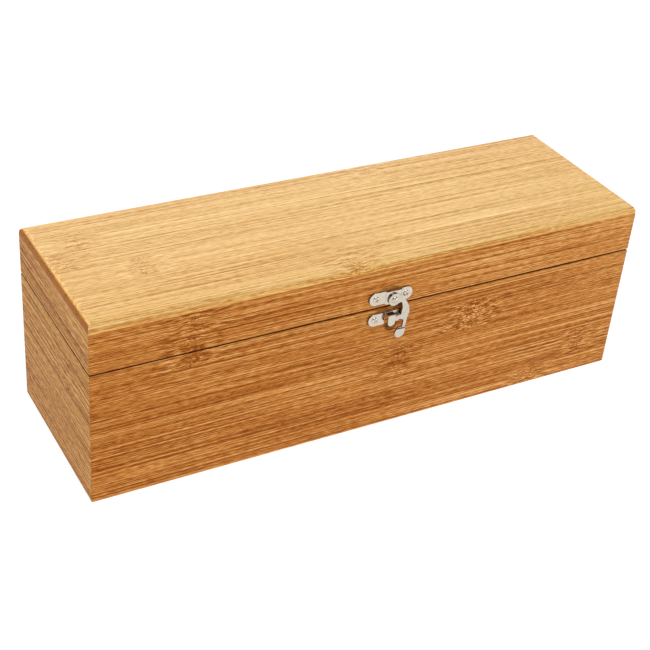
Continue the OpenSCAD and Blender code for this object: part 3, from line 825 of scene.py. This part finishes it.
# %% [markdown]
# ## The thumb tab
# The hook's lower end is pressed forward in a small step, so that a thumb gets behind it. The
# flat hook has no edges there to bend along, so we first cut level lines across its faces and
# then push everything below them towards the front.

# %% The step in the hook
STEP_TOP, STEP_LOW = 71.3, 70.3   # mm up, where the step begins and ends
STEP_OUT = 0.6                    # mm that the tab stands forward of the hook
STEP_CUTS = 8                     # parts that the step is cut into, so that it can bend


def press_step(piece):
    """Pushes the hook's lower end forward, in a smooth curve across the step."""
    shape = bmesh.new()
    shape.from_mesh(piece.data)
    for i in range(STEP_CUTS + 1):
        level = STEP_TOP + (STEP_LOW - STEP_TOP) * i / STEP_CUTS
        everything = shape.verts[:] + shape.edges[:] + shape.faces[:]
        bmesh.ops.bisect_plane(shape, geom=everything, plane_co=(0, 0, level * MM),
                               plane_no=(0, 0, 1))
    for vert in shape.verts:
        down = min(max((STEP_TOP - vert.co.z / MM) / (STEP_TOP - STEP_LOW), 0), 1)
        vert.co.y -= STEP_OUT * MM * down * down * (3 - 2 * down)
    shape.to_mesh(piece.data)
    shape.free()


press_step(metal["latch_hook"])
print("the tab stands", STEP_OUT, "mm forward")

# %% [markdown]
# ## Screws
# Twelve round-head screws hold the latch and the hinges, all alike but each turned as the
# driver left it. Copying one by hand would do, but a Geometry Nodes tree keeps the sizes in one
# place: it makes one screw from plain solids, cuts the cross with a boolean and sets a turned
# copy on each seat. The seats are a mesh of loose points that remember which way they face.
#
# We start with the one screw. The head is the upper half of a flattened ball, the shank is a
# cone that runs out to a point, and the cross is two bars that are cut out of the top.

# %% One screw from plain solids
SCREW_SIZES = {"Head radius": 2.0, "Head height": 0.9, "Cross length": 2.3, "Cross width": 0.5,
               "Cross depth": 0.6, "Shank radius": 1.1, "Shank length": 7.0}  # mm
ROUND, RINGS = 40, 20  # corners of a circle, and rings of the ball
TIP = 0.1              # radius of the shank's tip, against the shank's own
INTO_HEAD = 0.3        # how far the shank reaches into the head, against the head's height


def block(w, x, y, z):
    """A block of this size, its middle at zero."""
    return w.add("GeometryNodeMeshCube", {"Size": w.point(x, y, z)}).outputs["Mesh"]


def raised(w, solid, height):
    """The solid, moved up by this height."""
    return w.add("GeometryNodeTransform", {
        "Geometry": solid, "Translation": w.point(0, 0, height)}).outputs[0]


def combined(w, operation, solids, start=None):
    """The solids joined, or their common part, or what they leave of the one to start from."""
    node = w.add("GeometryNodeMeshBoolean", operation=operation)
    if start is not None:
        w.feed(node.inputs["Mesh 1"], start)
    for solid in solids:
        w.feed(node.inputs["Mesh 2"], solid)
    return node.outputs["Mesh"]


def screw_solid(w, size):
    """One screw with its seat at zero and its head towards +Z."""
    head_r, head_h = size["Head radius"], size["Head height"]
    ball = w.add("GeometryNodeMeshUVSphere", {
        "Segments": ROUND, "Rings": RINGS, "Radius": 1.0}).outputs["Mesh"]
    ball = w.add("GeometryNodeTransform", {
        "Geometry": ball, "Scale": w.point(head_r, head_r, head_h)}).outputs[0]
    above = block(w, w.times(head_r, 3), w.times(head_r, 3), w.times(head_h, 2))
    shank = w.add("GeometryNodeMeshCone", {
        "Vertices": ROUND, "Radius Top": size["Shank radius"],
        "Radius Bottom": w.times(size["Shank radius"], TIP),
        "Depth": w.plus(size["Shank length"], w.times(head_h, INTO_HEAD))}).outputs["Mesh"]
    bars = [block(w, size[along], size[over], w.times(size["Cross depth"], 2))
            for along, over in (("Cross length", "Cross width"), ("Cross width", "Cross length"))]
    dome = combined(w, "INTERSECT", [ball, raised(w, above, head_h)])
    whole = combined(w, "UNION", [dome, raised(w, shank, w.times(size["Shank length"], -1))])
    return combined(w, "DIFFERENCE", [raised(w, bar, head_h) for bar in bars], start=whole)


print("screw sizes, mm:", SCREW_SIZES)

# %% [markdown]
# The tree's second half sets a copy on each seat. It turns the screw to face the way that its
# seat does, and then round its own axis by a random part of a quarter turn, because a cross
# looks the same again after a quarter.

# %% A turned copy on each seat
SCREW_SEED = 7


def turned_copies(w, screw, seats, seed):
    """A copy of the screw on each seat, facing out and turned at random."""
    facing = w.add("GeometryNodeInputNamedAttribute", {"Name": "facing"},
                   data_type="FLOAT_VECTOR").outputs[0]
    out = w.add("FunctionNodeAlignRotationToVector", {"Vector": facing}, axis="Z").outputs[0]
    angle = w.add("FunctionNodeRandomValue", {2: 0.0, 3: math.pi / 2, "Seed": seed},
                  data_type="FLOAT").outputs[1]
    turn = w.add("FunctionNodeAxisAngleToRotation", {
        "Axis": (0, 0, 1), "Angle": angle}).outputs[0]
    turned = w.add("FunctionNodeRotateRotation", {"Rotation": out, "Rotate By": turn},
                   rotation_space="LOCAL").outputs[0]
    copies = w.add("GeometryNodeInstanceOnPoints", {
        "Points": seats, "Instance": screw, "Rotation": turned}).outputs[0]
    return w.add("GeometryNodeRealizeInstances", {"Geometry": copies}).outputs[0]


def make_screw_tree():
    tree = bpy.data.node_groups.new("round_head_screws", "GeometryNodeTree")
    sockets = [("Seats", "NodeSocketGeometry")]
    sockets += [(name, "NodeSocketFloat") for name in SCREW_SIZES]
    sockets += [("Seed", "NodeSocketInt"), ("Finish", "NodeSocketMaterial")]
    for name, kind in sockets:
        tree.interface.new_socket(name, in_out="INPUT", socket_type=kind)
    tree.interface.new_socket("Screws", in_out="OUTPUT", socket_type="NodeSocketGeometry")
    w = Wiring(tree)
    given = w.add("NodeGroupInput").outputs
    screws = turned_copies(w, screw_solid(w, given), given["Seats"], given["Seed"])
    done = w.add("GeometryNodeSetMaterial", {"Geometry": screws, "Material": given["Finish"]})
    w.add("NodeGroupOutput", {"Screws": done.outputs[0]})
    return tree


screw_tree = make_screw_tree()
print("screw tree has", len(screw_tree.nodes), "nodes")

# %% [markdown]
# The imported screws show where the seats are. Each packed pair lies side by side, its heads
# pointing out of the box, so a seat lies a shank's length out from the pair's inner end. All
# the screws of one body become one piece, since they move together.

# %% Screws on their seats
SCREW_EASE, SCREW_SHARP = 0.05, 40  # eased width in mm, and degrees at which an edge is sharp


def screw_seats(node):
    """The two seats of a pair of packed screws and the way that they face."""
    low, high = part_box(node)
    middle, radius = (low + high) / 2, (high.z - low.z) / 2
    length = SCREW_SIZES["Shank length"] * MM
    facing = -1 if middle.y < 0 else 1
    y = high.y - length if facing < 0 else low.y + length
    return [((x, y, middle.z), (0, facing, 0)) for x in (low.x + radius, high.x - radius)]


def drive_screws(name, body, nodes):
    """One piece with all the screws of a body."""
    seats = [seat for node in nodes for seat in screw_seats(node)]
    mesh = bpy.data.meshes.new(name + "_seats")
    mesh.from_pydata([place for place, _ in seats], [], [])
    facing = mesh.attributes.new("facing", "FLOAT_VECTOR", "POINT")
    for entry, (_, way) in zip(facing.data, seats):
        entry.vector = way
    piece = bpy.data.objects.new(name, mesh)
    scene.collection.objects.link(piece)
    maker = piece.modifiers.new("screws", "NODES")
    maker.node_group = screw_tree
    values = {size: value * MM for size, value in SCREW_SIZES.items()}
    values.update({"Seed": SCREW_SEED, "Finish": nickel_bright})
    for socket in screw_tree.interface.items_tree:
        if socket.name in values:
            maker[socket.identifier] = values[socket.name]
    graph = bpy.context.evaluated_depsgraph_get()
    mesh = bpy.data.meshes.new_from_object(piece.evaluated_get(graph))
    piece.modifiers.remove(maker)
    piece.data = mesh
    mesh.name = name
    ease(piece, SCREW_EASE, SCREW_SHARP)
    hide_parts(*nodes)
    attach(piece, body)
    return len(seats), len(mesh.polygons)


HINGES = ("left_hinge", "right_hinge")
print("screws and faces, lid:", drive_screws(
    "screws_lid", "lid", ["latch_plate_screws"] + [f"{hinge}_lid_screws" for hinge in HINGES]))
print("screws and faces, base:", drive_screws(
    "screws_base", "base", ["keeper_plate_screws"] + [f"{hinge}_base_screws" for hinge in HINGES]))
